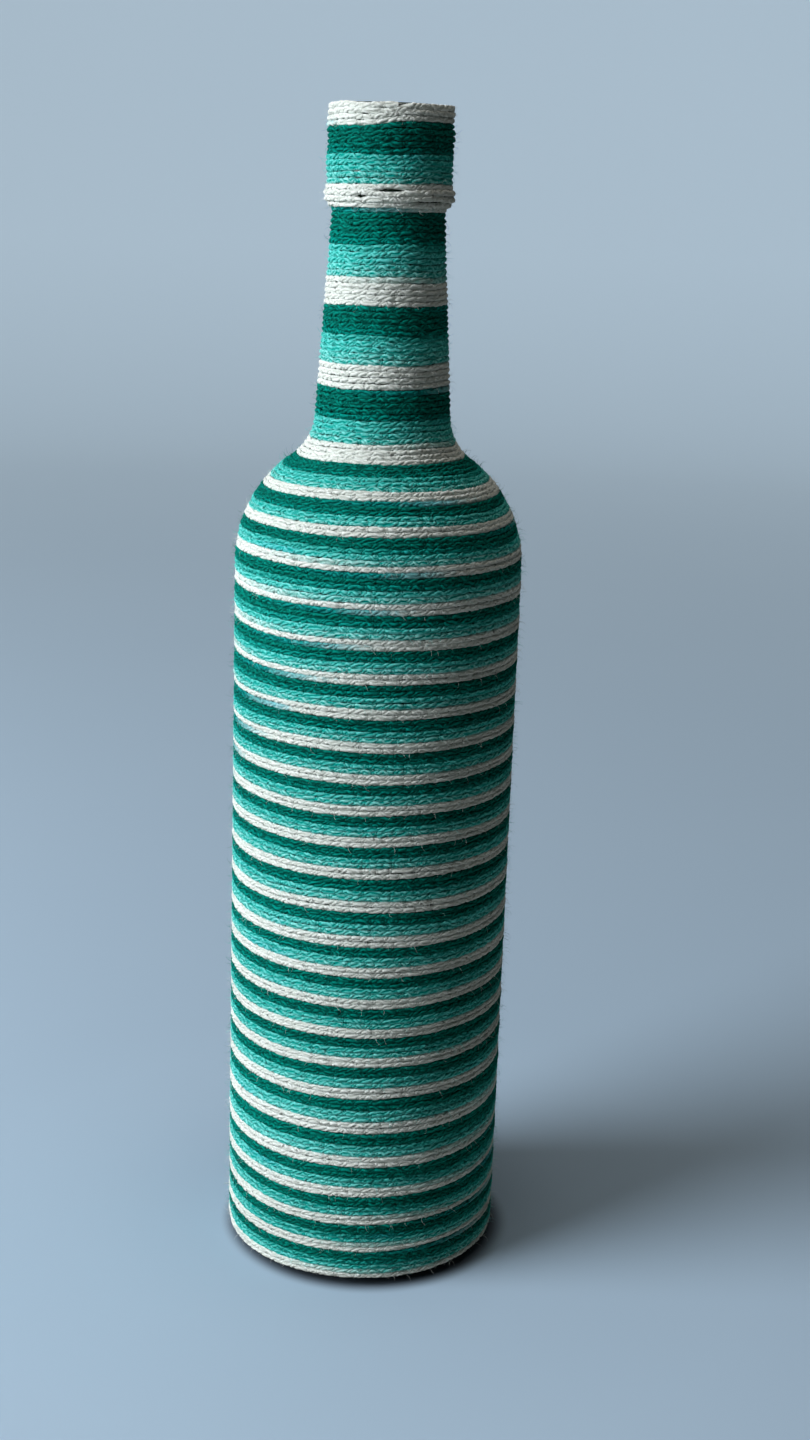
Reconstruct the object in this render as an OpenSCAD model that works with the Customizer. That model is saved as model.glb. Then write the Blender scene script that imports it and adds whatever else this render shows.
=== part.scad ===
// A tall wine bottle wound from heel to rim in one length of striped cotton yarn.
// The yarn was dyed white, dark teal and mint in equal lengths, so its stripes are
// low on the wide body and tall on the narrow neck. The top turns are real yarn,
// one unbroken strand; below them the turns lie so close that they form sleeves.
// The bottle's axis is Z and its resting ring stands on Z = 0.

/* [Bottle] */
// Height of the glass from its resting ring to the rim
bottle_h = 318; // [305:1:335]
// Outside diameter of the straight body
body_d = 75; // [70:0.5:80]
// Height at which the shoulder starts to turn in
shoulder_z = 199; // [170:1:210]
// Outside radius of the round shoulder
shoulder_r = 33.4; // [28:0.2:35]
// Radius of the hollow curve from the shoulder into the neck
hollow_r = 15.8; // [10:0.2:20]
// Outside diameter of the neck just below the collar
neck_top_d = 26.3; // [25:0.1:28]
// Lean of the neck's side from upright, in degrees
neck_lean = 3.7; // [2.5:0.1:4.5]

/* [Finish at the top] */
// Outside diameter of the smooth ring below the rim
finish_d = 29.7; // [28.6:0.1:30.2]
// Height of the rim above the middle of the collar
finish_h = 22.4; // [18:0.2:28]
// Outside diameter of the round collar under the ring
collar_d = 31.2; // [30.6:0.1:33]
// Radius of the collar's round section
collar_r = 2.6; // [2:0.1:3.4]
// Radius of the hollow above and below the collar
collar_hollow_r = 3; // [2.8:0.1:5]
// Rounding of the rim's outer edge
lip_r = 1; // [0.5:0.1:1.8]

/* [Inside of the glass] */
// Diameter of the mouth, which takes a cork
bore_d = 18.5; // [16:0.1:19.5]
// Depth of the mouth's even bore
bore_len = 45; // [35:1:60]
// Rounding of the mouth's inner edge
mouth_r = 0.8; // [0.3:0.1:1.5]
// Thickness of the glass wall
wall = 3.3; // [2:0.1:3.8]
// Thickness of the glass floor
floor_t = 5; // [3.5:0.5:8]
// Radius of the corner between wall and floor
corner_r = 4; // [2:0.5:7]

/* [Foot of the glass] */
// Outside radius of the heel
heel_r = 4; // [3.5:0.5:7]
// Width of the flat ring that the bottle rests on
rest_w = 3; // [1.5:0.5:5]
// Height of the dome pressed up into the foot
punt_h = 24; // [8:1:28]

/* [Yarn] */
// Thickness of the wound yarn over the glass
yarn_d = 1.3; // [1.1:0.05:1.6]
// Film of glue between glass and yarn
glue_gap = 0.2; // [0.18:0.02:0.4]
// Distance from one turn to the next
pitch = 1.5; // [1.46:0.02:2]
// Length of yarn in which white, teal and mint come round once
dye_repeat = 1455; // [900:5:2400]
// Length of the white stretch that is left at the yarn's upper end
first_white = 245; // [0:5:480]
// Bare glass between the rim and the first turn
rim_margin = 1.2; // [1:0.1:4]
// Height over the table at which the last turn touches the heel
foot_z = 1.5; // [1.4:0.1:3]

/* [Top turns] */
// Turns that are shown as real yarn
real_turns = 24; // [4:1:24]
// Diameter of that strand
strand_d = 1; // [0.7:0.05:1.05]
// Direction in which the yarn's upper end lies, in degrees from +X
end_dir = -75; // [-180:15:165]
// Direction at which each turn has stepped down to the next
step_dir = 90; // [-180:15:165]
// Part of each turn over which it steps down
step_arc = 60; // [30:15:120]

/* [Hidden] */
$fn = 96;

GLASS = [0.07, 0.11, 0.08];
UNDYED = [0.93, 0.92, 0.88];
DYES = [UNDYED, [0.02, 0.42, 0.36], [0.5, 0.82, 0.72]];
dye_len = dye_repeat / len(DYES);
arc_step = 5;
strand_sides = 6;
rings_per_turn = 24;
least_band = 0.05;

body_r = body_d / 2;
finish_r = finish_d / 2;
bore_r = bore_d / 2;
lean = [cos(neck_lean), sin(neck_lean)];
collar_z = bottle_h - finish_h;

// Centres of the outline's round stretches, each as distance from the axis and height
heel_c = [body_r - heel_r, heel_r];
shoulder_c = [body_r - shoulder_r, shoulder_z];
collar_c = [collar_d / 2 - collar_r, collar_z];
neck_top = [neck_top_d / 2, collar_z - collar_r];
hollow_c = beside(shoulder_c, shoulder_r, neck_top, lean, hollow_r, 1);
under_c = beside(collar_c, collar_r, neck_top, lean, collar_hollow_r, -1);
over_c = beside(collar_c, collar_r, [finish_r, 0], [1, 0], collar_hollow_r, 1);
lip_c = [finish_r - lip_r, bottle_h - lip_r];
hollow_a = bearing(shoulder_c, hollow_c);
under_a = bearing(under_c, collar_c);
over_a = bearing(collar_c, over_c);
foot_a = asin((foot_z - heel_r) / heel_r);

// Centre of a circle of radius r that touches a circle at c and a straight side.
// The side passes through p with the outward normal n, and way picks above or below.
function beside(c, c_r, p, n, r, way) =
    let (off = (p - c) * n + r, along = sqrt(pow(c_r + r, 2) - off * off))
    c + off * n + way * along * [-n.y, n.x];

function bearing(from, to) = atan2(to.y - from.y, to.x - from.x);

// The outline from the heel to the rim, moved outwards by off. A stretch is either
// round, as centre, radius, first and last angle, or straight, as its two ends.
function outline(off, heel_from) = [
    [heel_c, heel_r + off, heel_from, 0],
    [[body_r + off, heel_r], [body_r + off, shoulder_z]],
    [shoulder_c, shoulder_r + off, 0, hollow_a],
    [hollow_c, hollow_r - off, 180 + hollow_a, 180 + neck_lean],
    [hollow_c - (hollow_r - off) * lean, under_c - (collar_hollow_r - off) * lean],
    [under_c, collar_hollow_r - off, 180 + neck_lean, under_a],
    [collar_c, collar_r + off, under_a - 180, over_a],
    [over_c, collar_hollow_r - off, 180 + over_a, 180],
    [[finish_r + off, over_c.y], [finish_r + off, bottle_h - max(lip_r, rim_margin)]]
];

function is_round(part) = len(part) == 4;

function length_of(part) = is_round(part)
    ? abs(part[3] - part[2]) * PI / 180 * part[1]
    : norm(part[1] - part[0]);

function point_on(part, share) = is_round(part)
    ? part[0] + part[1] * polar(part[2] + (part[3] - part[2]) * share)
    : part[0] + (part[1] - part[0]) * share;

function polar(a) = [cos(a), sin(a)];

function arc(c, r, from, to) =
    let (steps = ceil(abs(to - from) / arc_step))
    [for (i = [0:steps]) c + r * polar(from + (to - from) * i / steps)];

function points_of(part) = is_round(part)
    ? arc(part[0], part[1], part[2], part[3])
    : part;

function flat(lists) = [for (points = lists) each points];

function sums(v) = [for (i = 0, s = 0; i <= len(v); s = s + (i < len(v) ? v[i] : 0), i = i + 1) s];

// Glass, cut from the axis outwards
rest_r = body_r - heel_r - rest_w;
corner_c = [body_r - wall - corner_r, floor_t + corner_r];

// A dome over a circle of radius r at height z, drawn from its edge to its top
function dome(r, z) =
    let (dome_r = (r * r + punt_h * punt_h) / (2 * punt_h), c = [0, z + punt_h - dome_r])
    arc(c, dome_r, bearing(c, [r, z]), 90);

function backwards(points) = [for (i = [len(points) - 1:-1:0]) points[i]];

module glass_bottle() {
    outside = flat([for (part = outline(0, -90)) points_of(part)]);
    rim = concat(
        arc(lip_c, lip_r, 0, 90),
        arc([bore_r + mouth_r, bottle_h - mouth_r], mouth_r, 90, 180)
    );
    inside = concat(
        [[bore_r, bottle_h - bore_len]],
        arc(hollow_c, hollow_r + wall, 180 + neck_lean, 180 + hollow_a),
        arc(shoulder_c, shoulder_r - wall, hollow_a, 0),
        arc(corner_c, corner_r, 0, -90),
        dome(corner_c.x, floor_t)
    );
    punt = backwards(dome(rest_r, 0));
    color(GLASS)
        rotate_extrude()
            polygon(concat(outside, rim, inside, punt));
}

// Places along the winding are counted down from its upper edge, on the line that
// the middle of the strand follows.
wind_off = glue_gap + strand_d / 2;
wind_line = outline(wind_off, foot_a);
under_yarn = outline(glue_gap, foot_a);
over_yarn = outline(glue_gap + yarn_d, foot_a);
wind_starts = sums([for (part = wind_line) length_of(part)]);
wind_len = wind_starts[len(wind_line)];

function part_at(s) = max([for (i = [0:len(wind_line) - 1]) if (i == 0 || wind_starts[i] < s) i]);

// The point at a distance down the winding, on any outline that runs beside its line
function down(d, line) =
    let (s = min(max(wind_len - d, 0), wind_len), i = part_at(s))
    point_on(line[i], (s - wind_starts[i]) / length_of(wind_line[i]));

// Length of yarn used up to each turn, counted from the upper end
turn_places = concat([for (d = [0:pitch:wind_len]) d], [wind_len]);
turn_lengths = sums([
    for (i = [1:len(turn_places) - 1])
        let (above = turn_places[i - 1], below = turn_places[i])
        2 * PI * down((above + below) / 2, wind_line).x * (below - above) / pitch
]);
yarn_len = turn_lengths[len(turn_lengths) - 1];
place_at_length = [for (i = [0:len(turn_places) - 1]) [turn_lengths[i], turn_places[i]]];
length_at_place = [for (row = place_at_length) [row[1], row[0]]];

// Dye stretches are counted down from 0, the white one at the upper end
function dye_start(i) = i == 0 ? 0 : first_white + (i - 1) * dye_len;
function dye_at(len_down) = max(floor((len_down - first_white) / dye_len) + 1, 0) % len(DYES);

// Each stretch of one dye below the real turns, as its dye, upper and lower end
sleeve_top = (real_turns + 1) * pitch;
bands = [
    for (i = [0:ceil((yarn_len - first_white) / dye_len)])
        let (
            top = max(lookup(dye_start(i), place_at_length), sleeve_top),
            foot = lookup(dye_start(i + 1), place_at_length)
        )
        if (foot > top + least_band) [i % len(DYES), top, foot]
];

// Places between two cuts where the outline turns, so that a sleeve follows its curve
corners = flat([
    for (i = [0:len(wind_line) - 1])
        let (
            part = wind_line[i],
            steps = is_round(part) ? ceil(abs(part[3] - part[2]) / arc_step) : 1
        )
        [for (k = [0:steps - 1]) wind_len - wind_starts[i] - length_of(part) * k / steps]
]);

function places(top, foot) = concat(
    [top],
    [for (d = backwards(corners)) if (d > top + least_band && d < foot - least_band) d],
    [foot]
);

module sleeve_section(top, foot) {
    rows = places(top, foot);
    polygon(concat(
        [for (d = rows) down(d, over_yarn)],
        backwards([for (d = rows) down(d, under_yarn)])
    ));
}

// All stretches of one dye: closed sleeves, and the one open turn under the real yarn
module dyed_bands(dye) {
    open_dye = dye_at(lookup(sleeve_top - pitch / 2, length_at_place));
    color(DYES[dye]) {
        for (band = bands)
            if (band[0] == dye)
                rotate_extrude()
                    sleeve_section(band[1], band[2]);
        if (open_dye == dye)
            rotate([0, 0, step_dir + step_arc])
                rotate_extrude(angle = 360 - step_arc)
                    sleeve_section(sleeve_top - pitch, sleeve_top);
    }
}

module white_yarn_bands() { dyed_bands(0); }
module teal_yarn_bands() { dyed_bands(1); }
module mint_yarn_bands() { dyed_bands(2); }

// The strand runs clockwise on its way down. It lies level round most of a turn, and
// steps down over step_arc degrees to the next, up to the open turn that it meets.
first_step = (end_dir - step_dir + 720) % 360;
strand_turn = first_step + 360 * (real_turns - 1);
strand_steps = ceil(strand_turn / 360 * rings_per_turn);

function ease(x) = (1 - cos(180 * x)) / 2;

function strand_place(a) =
    let (
        since = a - first_step + 360,
        turn = floor(since / 360),
        into_step = (since - 360 * turn - 360 + step_arc) / step_arc
    )
    pitch * (0.5 + turn + ease(min(max(into_step, 0), 1)));

function strand_point(a) =
    let (p = down(strand_place(a), wind_line), way = end_dir - a)
    [p.x * cos(way), p.x * sin(way), p.y];

// The way the strand runs at an angle a after its upper end, level and square to the radius
function strand_way(a) = [sin(end_dir - a), -cos(end_dir - a), 0];

turned = [for (i = [0:strand_steps]) strand_turn * i / strand_steps];
centres = concat(
    [strand_point(0) - strand_d * strand_way(0)],
    [for (i = [0:strand_steps - 1]) strand_point(turned[i])],
    [strand_point(strand_turn) - strand_d * strand_way(strand_turn), strand_point(strand_turn)]
);
ring_turns = concat([0], [for (i = [0:strand_steps - 1]) turned[i]], [strand_turn, strand_turn]);

function ring(c, a) = [
    for (k = [0:strand_sides - 1])
        let (q = strand_d / 2 * polar(360 / strand_sides * k), way = end_dir - a)
        c + [q.x * cos(way), q.x * sin(way), q.y]
];

module yarn_top_turns() {
    n = strand_sides;
    last = len(centres) - 1;
    skin = [
        for (i = [0:last - 1], k = [0:n - 1])
            let (a = i * n + k, b = i * n + (k + 1) % n)
            each [[a, b, a + n], [b, b + n, a + n]]
    ];
    ends = [for (k = [1:n - 2]) each [[0, k + 1, k], [last * n, last * n + k, last * n + k + 1]]];
    color(UNDYED)
        polyhedron(
            points = flat([for (i = [0:last]) ring(centres[i], ring_turns[i])]),
            faces = concat(skin, ends)
        );
}

// Least space between one turn of the strand and the next
near = [rings_per_turn - 4, rings_per_turn + 4];
strand_gap = min([
    for (i = [0:len(centres) - 1], j = [i + near[0]:1:min(i + near[1], len(centres) - 1)])
        norm(centres[i] - centres[j])
]) - strand_d;
echo(least_gap_of_the_strand_mm = strand_gap, yarn_length_m = yarn_len / 1000, turns = wind_len / pitch);

glass_bottle();
yarn_top_turns();
white_yarn_bands();
teal_yarn_bands();
mint_yarn_bands();
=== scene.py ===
# %% [markdown]
# # A bottle wound in striped yarn
#
# The object is a tall glass wine bottle. One length of soft three-ply cotton yarn is
# glued round it from the rim down to the heel. The yarn was dyed in equal lengths of
# white, dark teal and mint, and the stripes come from that dye alone.
#
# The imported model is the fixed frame. It is loaded first, and its box is kept, because
# nothing that Blender adds may change the size of the object.

# %% Load the frame
import math

import bpy
import numpy as np
from mathutils import Matrix, Vector


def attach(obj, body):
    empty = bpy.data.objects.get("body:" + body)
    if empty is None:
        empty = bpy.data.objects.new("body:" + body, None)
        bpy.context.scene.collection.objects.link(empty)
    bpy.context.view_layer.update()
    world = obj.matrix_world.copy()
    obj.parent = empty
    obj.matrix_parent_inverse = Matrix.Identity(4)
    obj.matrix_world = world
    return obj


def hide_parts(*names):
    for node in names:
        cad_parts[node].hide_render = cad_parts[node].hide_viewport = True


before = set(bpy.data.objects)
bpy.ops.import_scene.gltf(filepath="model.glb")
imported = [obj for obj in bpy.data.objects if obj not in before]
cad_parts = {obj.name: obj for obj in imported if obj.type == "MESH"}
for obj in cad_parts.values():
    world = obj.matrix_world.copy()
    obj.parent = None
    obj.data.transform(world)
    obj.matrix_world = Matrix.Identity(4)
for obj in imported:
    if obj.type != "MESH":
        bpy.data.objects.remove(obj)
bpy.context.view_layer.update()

MM = 0.001
rng = np.random.default_rng(11)

# %% [markdown]
# ## The camera
#
# The photograph looks down on the bottle from the height of its neck, about half a
# metre away, with the phone turned a little. The place and the angles below were found
# from the curves of the stripes. The lens is set for the upright side of the frame, so
# no shift is needed.

# %% Camera
camera_data = bpy.data.cameras.new("camera")
camera_data.sensor_fit = "VERTICAL"
camera_data.sensor_height = 36
camera_data.lens = 48.05
camera_data.clip_start = 0.01
camera = bpy.data.objects.new("camera", camera_data)
bpy.context.scene.collection.objects.link(camera)
bpy.context.scene.camera = camera

turn, tilt, roll = 0.0168, 0.2672, 0.0335
look = Vector((math.sin(turn) * math.cos(tilt), math.cos(turn) * math.cos(tilt), -math.sin(tilt)))
level = Vector((math.cos(turn), -math.sin(turn), 0))
upright = level.cross(look)
right = level * math.cos(roll) + upright * math.sin(roll)
up = -level * math.sin(roll) + upright * math.cos(roll)
camera.matrix_world = Matrix.Translation((0, -0.5174, 0.296)) @ Matrix((right, up, -look)).transposed().to_4x4()
print("camera looks along", [round(v, 3) for v in look])

# %% [markdown]
# ## The outline that the yarn follows
#
# The yarn lies on the glass, so its line is the bottle's outline moved outwards by the
# film of glue and half the yarn. The outline is a chain of arcs and straight lines that
# touch each other: heel, body, shoulder, hollow, neck, collar and finish. The sizes are
# the bottle's own, so the winding sits exactly where the model has it.

# %% Sizes of the bottle, in millimetres
bottle_h, body_r, heel_r = 318, 37.5, 4
shoulder_z, shoulder_r, hollow_r = 199, 33.4, 15.8
neck_top_r, neck_lean = 13.15, math.radians(3.7)
finish_r, collar_z, collar_out_r, collar_r, collar_hollow_r = 14.85, 295.6, 15.6, 2.6, 3
rim_margin, over_rim, foot_z = 1.2, 1.15, 1.9


def beside(c, c_r, p, n, r, way):
    """Centre of a circle of radius r that touches a circle and the side through p."""
    off = (p - c) @ n + r
    along = math.sqrt((c_r + r) ** 2 - off * off)
    return c + off * n + way * along * np.array([-n[1], n[0]])


def bearing(a, b):
    return math.atan2(b[1] - a[1], b[0] - a[0])


lean = np.array([math.cos(neck_lean), math.sin(neck_lean)])
heel_c = np.array([body_r - heel_r, heel_r])
shoulder_c = np.array([body_r - shoulder_r, shoulder_z])
collar_c = np.array([collar_out_r - collar_r, collar_z])
hollow_c = beside(shoulder_c, shoulder_r, np.array([neck_top_r, collar_z - collar_r]), lean, hollow_r, 1)
under_c = beside(collar_c, collar_r, np.array([neck_top_r, collar_z - collar_r]), lean, collar_hollow_r, -1)
over_c = beside(collar_c, collar_r, np.array([finish_r, 0]), np.array([1, 0]), collar_hollow_r, 1)
print("collar at", collar_c, "hollow under the shoulder's end at", hollow_c.round(1))


# %% [markdown]
# The stretches are turned into one fine line from the rim down to the heel. A round
# stretch that bulges grows by the offset, and a hollow one shrinks by it.

# %% Outline at a distance from the glass
def arc(c, r, a, b):
    steps = np.linspace(a, b, max(8, int(abs(b - a) * r / 0.1)))
    return np.stack([c[0] + r * np.cos(steps), c[1] + r * np.sin(steps)], 1)


def outline(off):
    """The bottle's outline in millimetres, from the rim down, off outside the glass."""
    hollow_a = bearing(shoulder_c, hollow_c)
    under_a = bearing(under_c, collar_c)
    over_a = bearing(collar_c, over_c)
    foot_a = math.asin((foot_z - heel_r) / heel_r)
    rim = np.array([[finish_r + off, bottle_h - rim_margin + over_rim], [finish_r + off, over_c[1]]])
    parts = [
        rim,
        arc(over_c, collar_hollow_r - off, math.pi, math.pi + over_a),
        arc(collar_c, collar_r + off, over_a, under_a - math.pi),
        arc(under_c, collar_hollow_r - off, under_a, math.pi + neck_lean),
        arc(hollow_c, hollow_r - off, math.pi + neck_lean, math.pi + hollow_a),
        arc(shoulder_c, shoulder_r + off, hollow_a, 0),
        arc(heel_c, heel_r + off, 0, foot_a),
    ]
    return np.concatenate(parts)


line = outline(0.2 + 0.62)
steps = np.linalg.norm(np.diff(line, axis=0), axis=1)
line = line[np.concatenate([[True], steps > 1e-6])]
down = np.concatenate([[0], np.cumsum(np.linalg.norm(np.diff(line, axis=0), axis=1))]) - over_rim
print("the winding covers %.1f mm of outline" % (down[-1] - down[0]))

# %% [markdown]
# ## The path of the yarn
#
# The yarn is one helix on that line. A machine would lay every turn at the same
# distance, but this was wound by hand: the turns crowd and open a little, sink and
# swell, and near the rim the last turn runs level and is overlapped by the one below.
# All of that is worked out along the yarn's own length, because the dye follows the
# length and not the height. A slow drift by height then moves whole groups of turns up
# or down by about a millimetre, as a hand does that pushes them together as it winds.

# %% Spacing of the turns
spacing_at = np.array([0, 12, 24, 36, 46, 60, 90, 110, 130, 160, 190, 220, 250, 280, 310, 323])
drift_at = np.array([0, 12, 20, 38, 48, 60, 85, 94, 103, 122, 157, 175, 204, 221, 251, 272, 300])
drift = np.array([0, -0.6, -0.5, -1.2, -1.1, -0.4, 0, 0.1, -0.5, 0.4, 0.4, 1.3, 0.6, -0.4, 0.6, -0.2, 0])
spacing = np.array([1.50, 1.42, 1.56, 1.64, 1.48, 1.56, 1.48, 1.45, 1.67, 1.42, 1.44, 1.57, 1.40, 1.72, 1.36, 1.52])
fine = np.linspace(down[0], down[-1], 40001)
turns_at = np.concatenate([[0], np.cumsum(np.diff(fine) / np.interp(fine[1:], spacing_at, spacing))])
turns = turns_at[-1] - 0.5
start_angle = math.radians(-84)
print("%.1f turns" % turns)

# %% Line of the yarn
per_turn = 360
turn_no = np.arange(0, turns, 1 / per_turn)
step_from = np.array([346, 352, 355, 360, 362, 364, 366, 368, 370, 372]) + 360 * np.arange(10)
step_to = np.array([364, 384, 392, 396, 398, 400, 402, 404, 406, 408]) + 360 * np.arange(10)
knots = np.stack([step_from, step_to], 1).ravel()
levels = np.stack([np.arange(10), np.arange(1, 11)], 1).ravel()
stepped = np.interp(turn_no * 360, knots, levels)
blend = np.clip((turn_no - 4) / 5, 0, 1)
helix = stepped * (1 - blend) + (turn_no - 0.5) * blend
reach = np.interp(helix + 0.5, turns_at, fine)
reach -= np.interp(np.interp(reach, down, line[:, 1]), drift_at, drift)
room = np.minimum(np.interp(reach, spacing_at, spacing) / 1.5, 1.12)
angle = start_angle - turn_no * 2 * math.pi
around = np.random.default_rng(5).uniform(0, 6.28, 8)
sway = 0.10 * np.sin(3 * angle + reach / 9 + around[0]) + 0.08 * np.sin(5 * angle - reach / 6 + around[1])
sway += 0.05 * np.sin(turn_no * 13.7 + around[2]) + 0.05 * np.sin(turn_no * 31.3 + around[3])
lift = 0.05 * np.sin(turn_no * 17.9 + around[4]) + 0.04 * np.sin(turn_no * 7.3 + around[5])
lift += 0.16 * np.exp(-(np.maximum(reach, 0) / 40) ** 2) * np.sin(2 * angle + reach / 2.6 + around[6])
sway += 0.45 * np.exp(-((turn_no * 360 - 34) / 13) ** 2)
for height, side, half, push in ((296.9, 2, 10, 0.40), (295.5, -25, 4, 0.40), (294.6, 36, 18, 0.24)):
    turns_here = (6 - side) / 360 + np.arange(60)
    level = np.interp(np.interp(turns_here, turn_no, reach), down, line[:, 1])
    above = turns_here[level > height][-1]
    for turn, way in ((above, -1), (above + 1, 1)):
        sway += way * push * np.exp(-((turn_no - turn) * 360 / half) ** 4)
at = np.clip(reach + sway, down[0], down[-1])
r = np.interp(at, down, line[:, 0])
z = np.interp(at, down, line[:, 1])
side = np.degrees(angle) + 90
for height, middle, half, out in ((310.6, 78, 26, 0.7), (295.2, 84, 22, 0.35), (312.5, -95, 30, 0.25)):
    turned = (side - middle + 180) % 360 - 180
    lift += out * np.exp(-(turned / half) ** 2 - ((z - height) / 1.7) ** 2)
lift -= 0.3 * np.exp(-((at - down[0]) / 1.2) ** 2)
ahead = np.clip(at + 0.05, down[0], down[-1])
behind = np.clip(at - 0.05, down[0], down[-1])
dr = np.interp(ahead, down, line[:, 0]) - np.interp(behind, down, line[:, 0])
dz = np.interp(ahead, down, line[:, 1]) - np.interp(behind, down, line[:, 1])
size = np.hypot(dr, dz)
out_r, out_z = -dz / size, dr / size
r = r + out_r * lift
z = z + out_z * lift
print("lowest yarn line at %.2f mm" % z.min())
path = np.stack([r * np.cos(angle), r * np.sin(angle), z], 1)
outward = np.stack([out_r * np.cos(angle), out_r * np.sin(angle), out_z], 1)
length = np.concatenate([[0], np.cumsum(np.linalg.norm(np.diff(path, axis=0), axis=1))])
print("yarn on the bottle: %.2f m" % (length[-1] / 1000))

# %% [markdown]
# Points at equal steps along the yarn keep the plies even on neck and body alike.

# %% Even points
step = 0.7
even = np.arange(0, length[-1], step)
path = np.stack([np.interp(even, length, path[:, k]) for k in range(3)], 1) * MM
outward = np.stack([np.interp(even, length, outward[:, k]) for k in range(3)], 1)
outward /= np.linalg.norm(outward, axis=1)[:, None]
room = np.interp(even, length, room)
print(len(even), "points")


# %% [markdown]
# ## A tree that plies the yarn
#
# Three plies turn round the path, each a soft strand of its own. The tree copies the
# path once for each ply, pushes each copy off the path by an angle that grows with the
# length, and gives it a round section. The twist makes the slanting marks that tell
# yarn from cord. What the dye and its painted groove shade need is stored on every point:
# the length along the yarn, the ply, and how far out of the groove the point lies, which
# sets how much painted shade the groove gets.

# %% Helper for trees
def node(tree, kind, inputs=None, **settings):
    """A new node with its settings, and its inputs set or linked."""
    made = tree.nodes.new(kind)
    for name, value in settings.items():
        setattr(made, name, value)
    for key, value in (inputs or {}).items():
        socket = made.inputs[key]
        if isinstance(value, bpy.types.NodeSocket):
            tree.links.new(value, socket)
        else:
            socket.default_value = value
    return made


def maths(tree, operation, a, b=None, c=None):
    made = tree.nodes.new("ShaderNodeMath")
    made.operation = operation
    for socket, value in zip(made.inputs, (a, b, c)):
        if value is None:
            continue
        if isinstance(value, bpy.types.NodeSocket):
            tree.links.new(value, socket)
        else:
            socket.default_value = value
    return made.outputs[0]


def vector_maths(tree, operation, a, b=None, scale=None):
    made = tree.nodes.new("ShaderNodeVectorMath")
    made.operation = operation
    for name, value in ((0, a), (1, b), ("Scale", scale)):
        if value is None:
            continue
        if isinstance(value, bpy.types.NodeSocket):
            tree.links.new(value, made.inputs[name])
        else:
            made.inputs[name].default_value = value
    return made.outputs["Value" if operation in ("DOT_PRODUCT", "LENGTH") else "Vector"]


def attribute(tree, name, kind="FLOAT"):
    made = node(tree, "GeometryNodeInputNamedAttribute", {"Name": name}, data_type=kind)
    return made.outputs["Attribute"]


def store(tree, geometry, name, value, kind="FLOAT", domain="POINT"):
    made = node(tree, "GeometryNodeStoreNamedAttribute", data_type=kind, domain=domain)
    made.inputs["Name"].default_value = name
    tree.links.new(geometry, made.inputs["Geometry"])
    tree.links.new(value, made.inputs["Value"])
    return made.outputs["Geometry"]


def new_tree(name, sockets):
    """An empty tree with Geometry in and out, and named inputs with their defaults."""
    tree = bpy.data.node_groups.new(name, "GeometryNodeTree")
    tree.interface.new_socket("Geometry", in_out="INPUT", socket_type="NodeSocketGeometry")
    tree.interface.new_socket("Geometry", in_out="OUTPUT", socket_type="NodeSocketGeometry")
    for label, kind, value in sockets:
        made = tree.interface.new_socket(label, in_out="INPUT", socket_type="NodeSocket" + kind)
        if value is not None:
            made.default_value = value
    return tree, tree.nodes.new("NodeGroupInput").outputs, tree.nodes.new("NodeGroupOutput")


# %% Plied yarn tree
plied, given, result = new_tree("plied_yarn", [
    ("Plies", "Int", 3),
    ("Twist Length", "Float", 7.5 * MM),
    ("Ply Offset", "Float", 0.41 * MM),
    ("Flattening", "Float", 0.82),
    ("Ply Radius", "Float", 0.52 * MM),
    ("Unevenness", "Float", 0.16),
    ("Sides", "Int", 4),
    ("Seed", "Int", 3),
    ("Material", "Material", None),
])
curve = node(plied, "GeometryNodeMeshToCurve", {"Mesh": given["Geometry"]}).outputs["Curve"]
centred = store(plied, curve, "middle", node(plied, "GeometryNodeInputPosition").outputs[0], "FLOAT_VECTOR")
sideways = vector_maths(plied, "CROSS_PRODUCT", node(plied, "GeometryNodeInputTangent").outputs[0], attribute(plied, "outward", "FLOAT_VECTOR"))
sided = store(plied, centred, "sideways", sideways, "FLOAT_VECTOR")
copies = node(plied, "GeometryNodeDuplicateElements", {"Geometry": sided, "Amount": given["Plies"]}, domain="SPLINE")
numbered = store(plied, copies.outputs["Geometry"], "ply", copies.outputs["Duplicate Index"], "FLOAT", "POINT")

# %% Where each ply lies
along = attribute(plied, "along")
ply = attribute(plied, "ply")
wander = node(plied, "ShaderNodeTexNoise", {"W": maths(plied, "ADD", maths(plied, "MULTIPLY", along, 60.0), maths(plied, "MULTIPLY", given["Seed"], 7.7)), "Detail": 1.0}, noise_dimensions="1D").outputs["Fac"]
share = maths(plied, "SUBTRACT", maths(plied, "DIVIDE", ply, given["Plies"]), maths(plied, "DIVIDE", along, given["Twist Length"]))
share = maths(plied, "ADD", share, maths(plied, "MULTIPLY", wander, 1.6))
ply_angle = maths(plied, "MULTIPLY", share, 2 * math.pi)
out_part = vector_maths(plied, "SCALE", attribute(plied, "outward", "FLOAT_VECTOR"), scale=maths(plied, "MULTIPLY", maths(plied, "MULTIPLY", maths(plied, "COSINE", ply_angle), given["Flattening"]), given["Ply Offset"]))
side_part = vector_maths(plied, "SCALE", attribute(plied, "sideways", "FLOAT_VECTOR"), scale=maths(plied, "MULTIPLY", maths(plied, "MULTIPLY", maths(plied, "SINE", ply_angle), attribute(plied, "room")), given["Ply Offset"]))
moved = node(plied, "GeometryNodeSetPosition", {"Geometry": numbered, "Offset": vector_maths(plied, "ADD", out_part, side_part)}).outputs[0]
swell = node(plied, "ShaderNodeTexNoise", {"W": maths(plied, "ADD", maths(plied, "MULTIPLY", along, 220.0), maths(plied, "MULTIPLY", ply, 31.0)), "Detail": 2.0}, noise_dimensions="1D").outputs["Fac"]
swell = maths(plied, "ADD", 1.0, maths(plied, "MULTIPLY", maths(plied, "SUBTRACT", swell, 0.5), maths(plied, "MULTIPLY", given["Unevenness"], 2.0)))
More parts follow.
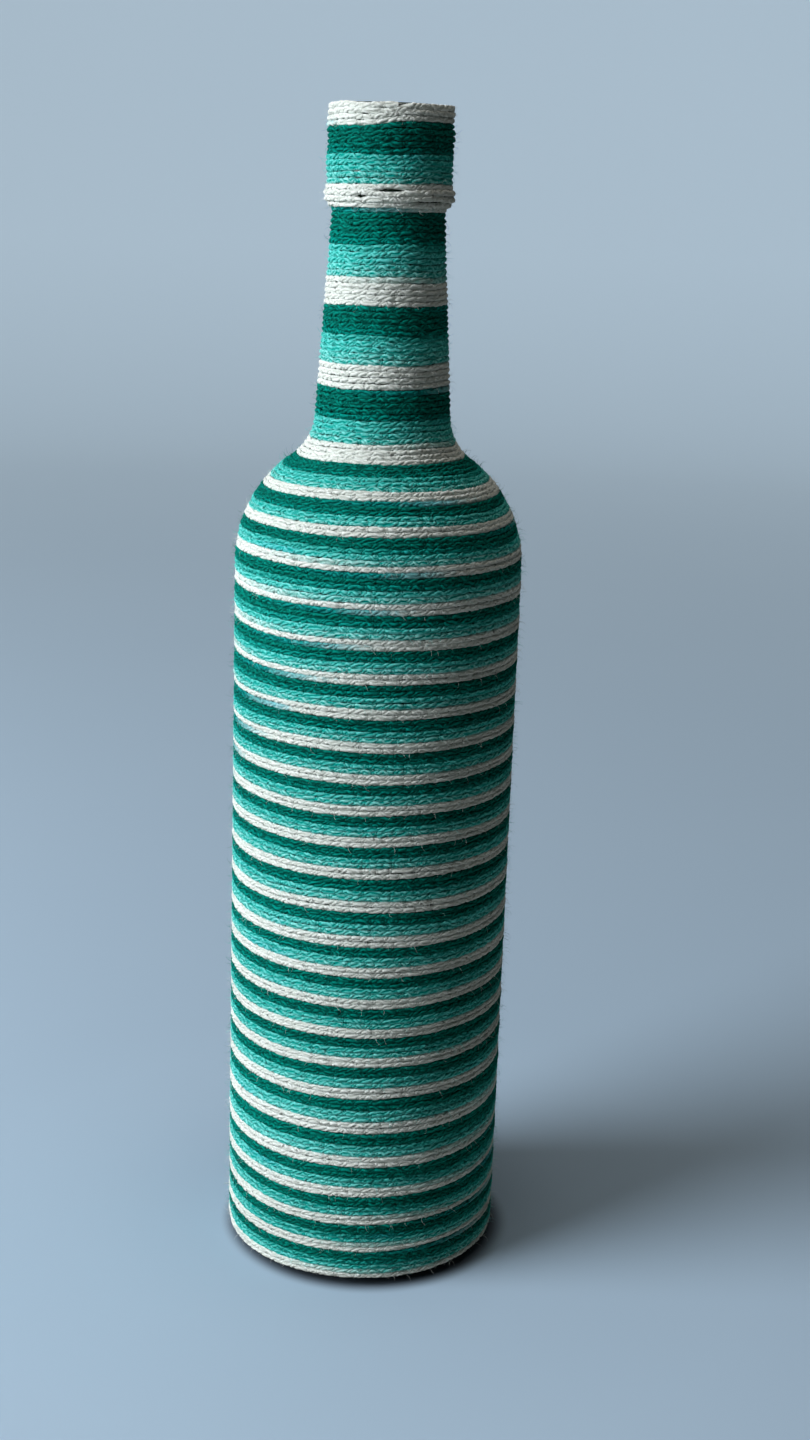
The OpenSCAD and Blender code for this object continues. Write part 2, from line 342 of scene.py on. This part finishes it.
swell = maths(plied, "MULTIPLY", swell, maths(plied, "ADD", 0.4, maths(plied, "MULTIPLY", attribute(plied, "room"), 0.6)))
thick = node(plied, "GeometryNodeSetCurveRadius", {"Curve": moved, "Radius": swell}).outputs[0]

# %% Round section, groove depth for the painted groove shade, and finish
section = node(plied, "GeometryNodeCurvePrimitiveCircle", {"Resolution": given["Sides"], "Radius": given["Ply Radius"]}).outputs["Curve"]
tube = node(plied, "GeometryNodeCurveToMesh", {"Curve": thick, "Profile Curve": section, "Fill Caps": True})
if "Scale" in tube.inputs:
    plied.links.new(node(plied, "GeometryNodeInputRadius").outputs[0], tube.inputs["Scale"])
tube = tube.outputs["Mesh"]
from_middle = vector_maths(plied, "LENGTH", vector_maths(plied, "SUBTRACT", node(plied, "GeometryNodeInputPosition").outputs[0], attribute(plied, "middle", "FLOAT_VECTOR")))
crown = maths(plied, "DIVIDE", from_middle, maths(plied, "ADD", given["Ply Offset"], given["Ply Radius"]))
crowned = store(plied, tube, "crown", crown)
smooth = node(plied, "GeometryNodeSetShadeSmooth", {"Geometry": crowned}).outputs[0]
whole = node(plied, "GeometryNodeRealizeInstances", {"Geometry": smooth}).outputs[0]
finished = node(plied, "GeometryNodeSetMaterial", {"Geometry": whole, "Material": given["Material"]}).outputs[0]
plied.links.new(finished, result.inputs["Geometry"])
print("plied yarn tree has", len(plied.nodes), "nodes")

# %% [markdown]
# ## The dye, and painted shade in the grooves
#
# Cotton takes dye unevenly: where one bath ends and the next begins the colours run
# into each other over a few centimetres, and here and there a bluish tinge is left.
# The colour is a ramp over the length along the yarn, and a slow noise moves its edges.
# Teal is deepest in the middle of its length, and mint grows paler towards the white.
# A second ramp holds painted shade: darker copies of the dye colours, put into the grooves
# between plies where shade falls. The fibres lie aslant in the twist, so the fine noise that
# gives lighter and darker fibres is stretched along the yarn and leans as they do.

# %% Dye, fibre and painted groove shade group
dye_shift = 0.142
dye_and_groove_shade = bpy.data.node_groups.new("yarn_dye_and_groove_shade", "ShaderNodeTree")
for label, kind, value in (("Repeat", "Float", 1.455), ("Edge Wander", "Float", 0.012), ("Fibre Contrast", "Float", 0.2)):
    dye_and_groove_shade.interface.new_socket(label, in_out="INPUT", socket_type="NodeSocket" + kind).default_value = value
dye_and_groove_shade.interface.new_socket("Color", in_out="OUTPUT", socket_type="NodeSocketColor")
dye_and_groove_shade.interface.new_socket("Fibre", in_out="OUTPUT", socket_type="NodeSocketFloat")
given = dye_and_groove_shade.nodes.new("NodeGroupInput").outputs
result = dye_and_groove_shade.nodes.new("NodeGroupOutput")
along = node(dye_and_groove_shade, "ShaderNodeAttribute", attribute_name="along").outputs["Fac"]
ply = node(dye_and_groove_shade, "ShaderNodeAttribute", attribute_name="ply").outputs["Fac"]
crown = node(dye_and_groove_shade, "ShaderNodeAttribute", attribute_name="crown").outputs["Fac"]
place = node(dye_and_groove_shade, "ShaderNodeTexCoord").outputs["Object"]
ply_shift = maths(dye_and_groove_shade, "MULTIPLY", ply, 13.0)
edge = node(dye_and_groove_shade, "ShaderNodeTexNoise", {"W": maths(dye_and_groove_shade, "ADD", maths(dye_and_groove_shade, "MULTIPLY", along, 90.0), ply_shift), "Detail": 2.0}, noise_dimensions="1D").outputs["Fac"]
cycle = maths(dye_and_groove_shade, "ADD", maths(dye_and_groove_shade, "DIVIDE", maths(dye_and_groove_shade, "MAXIMUM", maths(dye_and_groove_shade, "ADD", along, dye_shift), 0.05), given["Repeat"]), maths(dye_and_groove_shade, "MULTIPLY", maths(dye_and_groove_shade, "SUBTRACT", edge, 0.5), given["Edge Wander"]))
cycle = maths(dye_and_groove_shade, "FRACT", cycle)


def ramp_of(stops):
    made = node(dye_and_groove_shade, "ShaderNodeValToRGB", {"Fac": cycle})
    while len(made.color_ramp.elements) < len(stops):
        made.color_ramp.elements.new(0.5)
    for element, (position, colour) in zip(made.color_ramp.elements, stops):
        element.position = position
        element.color = (*colour, 1)
    return made.outputs["Color"]


raised = ramp_of([
    (0.000, (0.35, 0.79, 0.77)),
    (0.012, (0.60, 0.82, 0.81)),
    (0.024, (0.80, 0.84, 0.83)),
    (0.312, (0.80, 0.84, 0.83)),
    (0.319, (0.30, 0.62, 0.66)),
    (0.327, (0.01, 0.34, 0.33)),
    (0.344, (0.00, 0.27, 0.215)),
    (0.420, (0.00, 0.235, 0.185)),
    (0.540, (0.00, 0.235, 0.185)),
    (0.600, (0.00, 0.30, 0.25)),
    (0.650, (0.00, 0.32, 0.27)),
    (0.672, (0.01, 0.38, 0.33)),
    (0.690, (0.07, 0.55, 0.50)),
    (0.712, (0.15, 0.70, 0.67)),
    (0.830, (0.15, 0.70, 0.67)),
    (0.930, (0.27, 0.77, 0.74)),
    (1.000, (0.35, 0.79, 0.77)),
])
# Painted shade: darker copies of the dye colours for the grooves between plies, where shade falls.
painted_groove_shade = ramp_of([
    (0.000, (0.00, 0.33, 0.29)),
    (0.022, (0.60, 0.64, 0.60)),
    (0.313, (0.60, 0.64, 0.60)),
    (0.320, (0.16, 0.38, 0.40)),
    (0.328, (0.00, 0.13, 0.12)),
    (0.344, (0.00, 0.07, 0.055)),
    (0.650, (0.00, 0.07, 0.055)),
    (0.672, (0.00, 0.14, 0.12)),
    (0.712, (0.00, 0.30, 0.26)),
    (1.000, (0.00, 0.33, 0.29)),
])

# %% Fibres, painted groove shade and specks
upright = node(dye_and_groove_shade, "ShaderNodeSeparateXYZ", {"Vector": place}).outputs["Z"]
slanted = maths(dye_and_groove_shade, "MULTIPLY", maths(dye_and_groove_shade, "ADD", upright, maths(dye_and_groove_shade, "MULTIPLY", along, 0.22)), 2600.0)
laid = node(dye_and_groove_shade, "ShaderNodeCombineXYZ", {"X": maths(dye_and_groove_shade, "MULTIPLY", along, 480.0), "Y": slanted}).outputs[0]
fibre = node(dye_and_groove_shade, "ShaderNodeTexNoise", {"Vector": laid, "Scale": 1.0, "Detail": 3.0, "Roughness": 0.6}).outputs["Fac"]
streak = node(dye_and_groove_shade, "ShaderNodeTexNoise", {"W": maths(dye_and_groove_shade, "ADD", maths(dye_and_groove_shade, "MULTIPLY", along, 420.0), ply_shift), "Detail": 1.0}, noise_dimensions="1D").outputs["Fac"]
lighter = maths(dye_and_groove_shade, "ADD", maths(dye_and_groove_shade, "SUBTRACT", fibre, 0.5), maths(dye_and_groove_shade, "MULTIPLY", maths(dye_and_groove_shade, "SUBTRACT", streak, 0.5), 0.8))
lighter = maths(dye_and_groove_shade, "ADD", 1.0, maths(dye_and_groove_shade, "MULTIPLY", lighter, given["Fibre Contrast"]))
# Painted groove shade: the colour leans to the darker ramp where a point lies low in a groove; the fibre noise adds the
# fibres' own random tone.
height = node(dye_and_groove_shade, "ShaderNodeMapRange", {"Value": maths(dye_and_groove_shade, "ADD", crown, maths(dye_and_groove_shade, "MULTIPLY", maths(dye_and_groove_shade, "SUBTRACT", fibre, 0.5), 0.7)), "From Min": 0.66, "From Max": 0.98}).outputs[0]
mixed = node(dye_and_groove_shade, "ShaderNodeMix", {0: height, 6: painted_groove_shade, 7: raised}, data_type="RGBA").outputs[2]
tinge = node(dye_and_groove_shade, "ShaderNodeTexNoise", {"W": maths(dye_and_groove_shade, "ADD", maths(dye_and_groove_shade, "MULTIPLY", along, 5.0), 3.3), "Detail": 2.0}, noise_dimensions="1D").outputs["Fac"]
tinge = node(dye_and_groove_shade, "ShaderNodeMapRange", {"Value": tinge, "From Min": 0.66, "From Max": 0.78, "To Max": 0.3}).outputs[0]
whiteness = node(dye_and_groove_shade, "ShaderNodeSeparateColor", {"Color": mixed}).outputs["Red"]
tinge = maths(dye_and_groove_shade, "MULTIPLY", tinge, maths(dye_and_groove_shade, "COMPARE", whiteness, 0.25, 0.24))
mixed = node(dye_and_groove_shade, "ShaderNodeMix", {0: tinge, 6: mixed, 7: (0.02, 0.40, 0.50, 1)}, data_type="RGBA").outputs[2]
speck = node(dye_and_groove_shade, "ShaderNodeTexNoise", {"Vector": place, "Scale": 700.0, "Detail": 0.0}).outputs["Fac"]
speck = maths(dye_and_groove_shade, "SUBTRACT", 1.0, maths(dye_and_groove_shade, "MULTIPLY", maths(dye_and_groove_shade, "GREATER_THAN", speck, 0.81), 0.6))
coloured = vector_maths(dye_and_groove_shade, "SCALE", mixed, scale=maths(dye_and_groove_shade, "MULTIPLY", lighter, speck))
dye_and_groove_shade.links.new(coloured, result.inputs["Color"])
dye_and_groove_shade.links.new(fibre, result.inputs["Fibre"])


# %% Yarn material
def principled(name):
    material = bpy.data.materials.new(name)
    material.use_nodes = True
    return material, material.node_tree, material.node_tree.nodes["Principled BSDF"]


yarn_finish, tree, shader = principled("dyed_cotton_yarn")
coat = node(tree, "ShaderNodeGroup", node_tree=dye_and_groove_shade)
tree.links.new(coat.outputs["Color"], shader.inputs["Base Color"])
shader.inputs["Roughness"].default_value = 0.9
shader.inputs["Specular IOR Level"].default_value = 0.05
bump = node(tree, "ShaderNodeBump", {"Height": coat.outputs["Fibre"], "Strength": 0.5, "Distance": 0.12 * MM})
tree.links.new(bump.outputs["Normal"], shader.inputs["Normal"])

# %% [markdown]
# ## The winding, in stretches
#
# The whole winding has more than a million faces, so it is made in stretches that meet
# end to end at the same point of the path. Each stretch becomes a plain mesh once the
# tree has run, and stands for the model's plain bands. The lowest points are lifted to
# the table, so that nothing reaches below it.

# %% Run a tree on a line of points
NODES_OF_YARN = ["yarn_top_turns", "white_yarn_bands", "teal_yarn_bands", "mint_yarn_bands"]


def line_object(name, first, last):
    mesh = bpy.data.meshes.new(name)
    count = last - first
    mesh.from_pydata(path[first:last].tolist(), [(k, k + 1) for k in range(count - 1)], [])
    mesh.attributes.new("along", "FLOAT", "POINT").data.foreach_set("value", (even[first:last] * MM).astype(np.float32))
    mesh.attributes.new("room", "FLOAT", "POINT").data.foreach_set("value", room[first:last].astype(np.float32))
    mesh.attributes.new("outward", "FLOAT_VECTOR", "POINT").data.foreach_set("vector", outward[first:last].astype(np.float32).ravel())
    made = bpy.data.objects.new(name, mesh)
    bpy.context.scene.collection.objects.link(made)
    return made


def run_tree(made, tree, values):
    """Adds the tree, sets its inputs by their identifiers, and keeps the plain result."""
    modifier = made.modifiers.new(tree.name, "NODES")
    modifier.node_group = tree
    for item in tree.interface.items_tree:
        if item.item_type == "SOCKET" and item.in_out == "INPUT" and item.name in values:
            modifier[item.identifier] = values[item.name]
    made.update_tag()
    evaluated = made.evaluated_get(bpy.context.evaluated_depsgraph_get())
    plain = bpy.data.meshes.new_from_object(evaluated)
    made.modifiers.clear()
    made.data = plain
    for name in ("outward", "middle", "sideways", "room"):
        if name in plain.attributes:
            plain.attributes.remove(plain.attributes[name])
    places = np.empty(len(plain.vertices) * 3, np.float32)
    plain.vertices.foreach_get("co", places)
    places[2::3] = np.maximum(places[2::3], 0.1 * MM)
    plain.vertices.foreach_set("co", places)
    return made


# %% Make the stretches
faces_per_point = 3 * 4 * 2
count = math.ceil(len(even) * faces_per_point / 180000)
cuts = np.linspace(0, len(even), count + 1).astype(int)
winding = []
for number, (first, last) in enumerate(zip(cuts[:-1], cuts[1:]), 1):
    piece = line_object(f"yarn_stretch_{number}", int(first), int(min(last + 1, len(even))))
    run_tree(piece, plied, {"Material": yarn_finish})
    winding.append(piece)
    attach(piece, "root")
    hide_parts(*NODES_OF_YARN)
print(len(winding), "stretches,", sum(len(p.data.polygons) for p in winding), "faces")

# %% [markdown]
# ## Loose fibres
#
# Cotton yarn is never clean: short fibre ends stand off it and soften every edge. One
# bent, tapered hair of eighteen faces is instanced on a random share of the path's
# points, turned outwards with some scatter, and scaled at random.

# %% Loose fibre tree
fuzz, given, result = new_tree("loose_fibres", [
    ("Share", "Float", 0.32),
    ("Fibre Length", "Float", 1.6 * MM),
    ("Fibre Radius", "Float", 0.035 * MM),
    ("Scatter", "Float", 1.3),
    ("Depth", "Float", 0.55 * MM),
    ("Seed", "Int", 8),
    ("Material", "Material", None),
])
picked = node(fuzz, "FunctionNodeRandomValue", {"Probability": given["Share"], "Seed": given["Seed"]}, data_type="BOOLEAN").outputs[3]
scatter = node(fuzz, "FunctionNodeRandomValue", {0: (-1, -1, -1), 1: (1, 1, 1), "Seed": given["Seed"]}, data_type="FLOAT_VECTOR").outputs[0]
aim = vector_maths(fuzz, "ADD", attribute(fuzz, "outward", "FLOAT_VECTOR"), vector_maths(fuzz, "SCALE", scatter, scale=given["Scatter"]))
root = node(fuzz, "GeometryNodeSetPosition", {"Geometry": given["Geometry"], "Offset": vector_maths(fuzz, "SCALE", vector_maths(fuzz, "ADD", attribute(fuzz, "outward", "FLOAT_VECTOR"), vector_maths(fuzz, "SCALE", scatter, scale=0.6)), scale=given["Depth"])}).outputs[0]
bent = node(fuzz, "GeometryNodeCurvePrimitiveBezierSegment", {"Resolution": 3, "Start": (0, 0, 0), "Start Handle": (0, 0, 0.5), "End Handle": (0.25, 0, 0.9), "End": (0.75, 0, 1.0)}).outputs[0]
thin = node(fuzz, "GeometryNodeSetCurveRadius", {"Curve": bent, "Radius": maths(fuzz, "SUBTRACT", 1.0, maths(fuzz, "MULTIPLY", node(fuzz, "GeometryNodeSplineParameter").outputs["Factor"], 0.75))}).outputs[0]
ring = node(fuzz, "GeometryNodeCurvePrimitiveCircle", {"Resolution": 3, "Radius": maths(fuzz, "DIVIDE", given["Fibre Radius"], given["Fibre Length"])}).outputs["Curve"]
hair = node(fuzz, "GeometryNodeCurveToMesh", {"Curve": thin, "Profile Curve": ring, "Fill Caps": True})
if "Scale" in hair.inputs:
    fuzz.links.new(node(fuzz, "GeometryNodeInputRadius").outputs[0], hair.inputs["Scale"])
facing = node(fuzz, "FunctionNodeAlignRotationToVector", {"Vector": aim}, axis="Z").outputs[0]
spin = node(fuzz, "FunctionNodeRandomValue", {2: 0.0, 3: 6.28, "Seed": given["Seed"]}, data_type="FLOAT").outputs[1]
turned = node(fuzz, "FunctionNodeRotateRotation", {"Rotation": facing, "Rotate By": node(fuzz, "FunctionNodeAxisAngleToRotation", {"Axis": (0, 0, 1), "Angle": spin}).outputs[0]}, rotation_space="LOCAL").outputs[0]
long = node(fuzz, "FunctionNodeRandomValue", {2: 0.35, 3: 1.25, "Seed": given["Seed"]}, data_type="FLOAT").outputs[1]
standing = node(fuzz, "GeometryNodeInstanceOnPoints", {"Points": root, "Selection": picked, "Instance": hair.outputs["Mesh"], "Rotation": turned, "Scale": maths(fuzz, "MULTIPLY", long, given["Fibre Length"])}).outputs[0]
# A crown of 1 keeps the painted groove shade off the loose fibres.
crowned = store(fuzz, standing, "crown", maths(fuzz, "ADD", 1.0, 0.0), domain="INSTANCE")
whole = node(fuzz, "GeometryNodeRealizeInstances", {"Geometry": crowned}).outputs[0]
finished = node(fuzz, "GeometryNodeSetMaterial", {"Geometry": whole, "Material": given["Material"]}).outputs[0]
fuzz.links.new(finished, result.inputs["Geometry"])

# %% Make the loose fibres
halves = np.linspace(0, len(even), 3).astype(int)
for number, (first, last) in enumerate(zip(halves[:-1], halves[1:]), 1):
    piece = line_object(f"loose_fibres_{number}", int(first), int(last))
    run_tree(piece, fuzz, {"Material": yarn_finish, "Seed": 8 + number})
    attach(piece, "root")
    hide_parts(*NODES_OF_YARN)
    print(piece.name, len(piece.data.polygons), "faces", [a.name for a in piece.data.attributes])

# %% [markdown]
# ## The glass
#
# The bottle itself stays as modelled. It shows at the rim, in the gaps between turns and
# from below: dark green glass, smooth and glossy, with the slight waves of blown glass.

# %% Glass material
glass, tree, shader = principled("dark_green_glass")
place = node(tree, "ShaderNodeTexCoord").outputs["Object"]
cloud = node(tree, "ShaderNodeTexNoise", {"Vector": place, "Scale": 25.0, "Detail": 3.0}).outputs["Fac"]
tint = node(tree, "ShaderNodeMix", {0: cloud, 6: (0.012, 0.045, 0.02, 1), 7: (0.03, 0.09, 0.035, 1)}, data_type="RGBA")
tree.links.new(tint.outputs[2], shader.inputs["Base Color"])
shader.inputs["Roughness"].default_value = 0.06
shader.inputs["Transmission Weight"].default_value = 0.7
shader.inputs["IOR"].default_value = 1.52
waves = node(tree, "ShaderNodeBump", {"Height": cloud, "Strength": 0.15, "Distance": 0.4 * MM})
tree.links.new(waves.outputs["Normal"], shader.inputs["Normal"])
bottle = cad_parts["glass_bottle"]
bottle.data.materials.clear()
bottle.data.materials.append(glass)

# %% [markdown]
# ## Floor, backdrop and light
#
# The bottle stands on a plain pale sheet that runs up all round it. One broad lamp at the
# left lights it, as the window does in the photograph. A small lamp high up and the
# light that the sheet throws back fill the side in shade. The sheet throws that light
# back neutral, so it doesn't tint the yarn. The pale glow towards the edges of the
# picture is for the camera's eye alone and adds no light. So is a narrow dark ring
# close round the foot, a painted contact shadow where the photograph has almost no light
# between heel and table.

# %% Floor
sweep = bpy.data.meshes.new("floor")
side = [(0.0, 0.0), (0.5, 0.0), (1.0, 0.0), (1.6, 0.0)]
side += [(1.6 + 0.9 * math.sin(a), 0.9 - 0.9 * math.cos(a)) for a in np.linspace(0, math.pi / 2, 19)[1:]]
side += [(2.5, 1.6)]
around_floor = 72
points = [(0, 0, 0)]
for far, high in side[1:]:
    points += [(far * math.cos(a), far * math.sin(a), high) for a in np.linspace(0, 2 * math.pi, around_floor + 1)[:-1]]
faces = [(0, 1 + k, 1 + (k + 1) % around_floor) for k in range(around_floor)]
for row in range(len(side) - 2):
    low, top = 1 + row * around_floor, 1 + (row + 1) * around_floor
    faces += [(low + k, top + k, top + (k + 1) % around_floor, low + (k + 1) % around_floor) for k in range(around_floor)]
sweep.from_pydata(points, [], faces)
sweep.shade_smooth()
floor = bpy.data.objects.new("floor", sweep)
bpy.context.scene.collection.objects.link(floor)
sheet_finish, tree, shader = principled("pale_sheet")
place = node(tree, "ShaderNodeTexCoord").outputs["Object"]
mottle = node(tree, "ShaderNodeTexNoise", {"Vector": place, "Scale": 3.0}).outputs["Fac"]
tint = node(tree, "ShaderNodeMix", {0: mottle, 6: (0.38, 0.51, 0.66, 1), 7: (0.41, 0.54, 0.69, 1)}, data_type="RGBA")
seen = node(tree, "ShaderNodeLightPath").outputs["Is Camera Ray"]
far = vector_maths(tree, "LENGTH", place)
from_foot = vector_maths(tree, "LENGTH", vector_maths(tree, "SUBTRACT", place, (0.0016, 0, 0)))
# Painted contact shadow: a narrow ring round the foot darkens the sheet, for the camera only.
painted_contact_shadow = node(tree, "ShaderNodeMapRange", {"Value": from_foot, "From Min": 0.0372, "From Max": 0.0436, "To Min": 0.12}, interpolation_type="SMOOTHSTEP").outputs[0]
shaded = vector_maths(tree, "SCALE", tint.outputs[2], scale=painted_contact_shadow)
plain = node(tree, "ShaderNodeMix", {0: seen, 6: (0.31, 0.33, 0.33, 1), 7: shaded}, data_type="RGBA")
tree.links.new(plain.outputs[2], shader.inputs["Base Color"])
shader.inputs["Roughness"].default_value = 0.7
shader.inputs["Specular IOR Level"].default_value = 0.1
near_glow = node(tree, "ShaderNodeMapRange", {"Value": far, "From Min": 0.045, "From Max": 0.12, "To Max": 0.05}).outputs[0]
far_glow = node(tree, "ShaderNodeMapRange", {"Value": far, "From Min": 0.15, "From Max": 2.2, "To Max": 0.63}).outputs[0]
glow = maths(tree, "ADD", near_glow, far_glow)
shader.inputs["Emission Color"].default_value = (0.44, 0.55, 0.64, 1)
tree.links.new(maths(tree, "MULTIPLY", seen, glow), shader.inputs["Emission Strength"])
floor.data.materials.append(sheet_finish)


# %% Lamps and sky
def lamp(name, place, aim, size, power, colour):
    data = bpy.data.lights.new(name, "AREA")
    data.shape = "DISK"
    data.size = size
    data.energy = power
    data.color = colour
    made = bpy.data.objects.new(name, data)
    bpy.context.scene.collection.objects.link(made)
    made.location = place
    made.rotation_euler = (Vector(aim) - Vector(place)).to_track_quat("-Z", "Y").to_euler()
    return made


lamp("key_lamp", (-1.06, -0.42, 0.70), (0, 0, 0.20), 0.90, 23.6, (0.96, 0.99, 1.0))
lamp("ceiling_lamp", (0.1, -0.1, 2.1), (0, 0, 0), 0.7, 7.0, (1.0, 0.93, 0.82))
world = bpy.data.worlds.new("studio")
bpy.context.scene.world = world
world.use_nodes = True
sky = world.node_tree
background = sky.nodes["Background"]
paths = node(sky, "ShaderNodeLightPath")
seen = maths(sky, "MAXIMUM", paths.outputs["Is Camera Ray"], maths(sky, "MAXIMUM", paths.outputs["Is Glossy Ray"], paths.outputs["Is Transmission Ray"]))
shown = node(sky, "ShaderNodeMix", {0: seen, 6: (0.012, 0.011, 0.009, 1), 7: (0.37, 0.47, 0.57, 1)}, data_type="RGBA")
sky.links.new(shown.outputs[2], background.inputs["Color"])
background.inputs["Strength"].default_value = 1.0

# %% View settings
bpy.context.scene.view_settings.view_transform = "Standard"
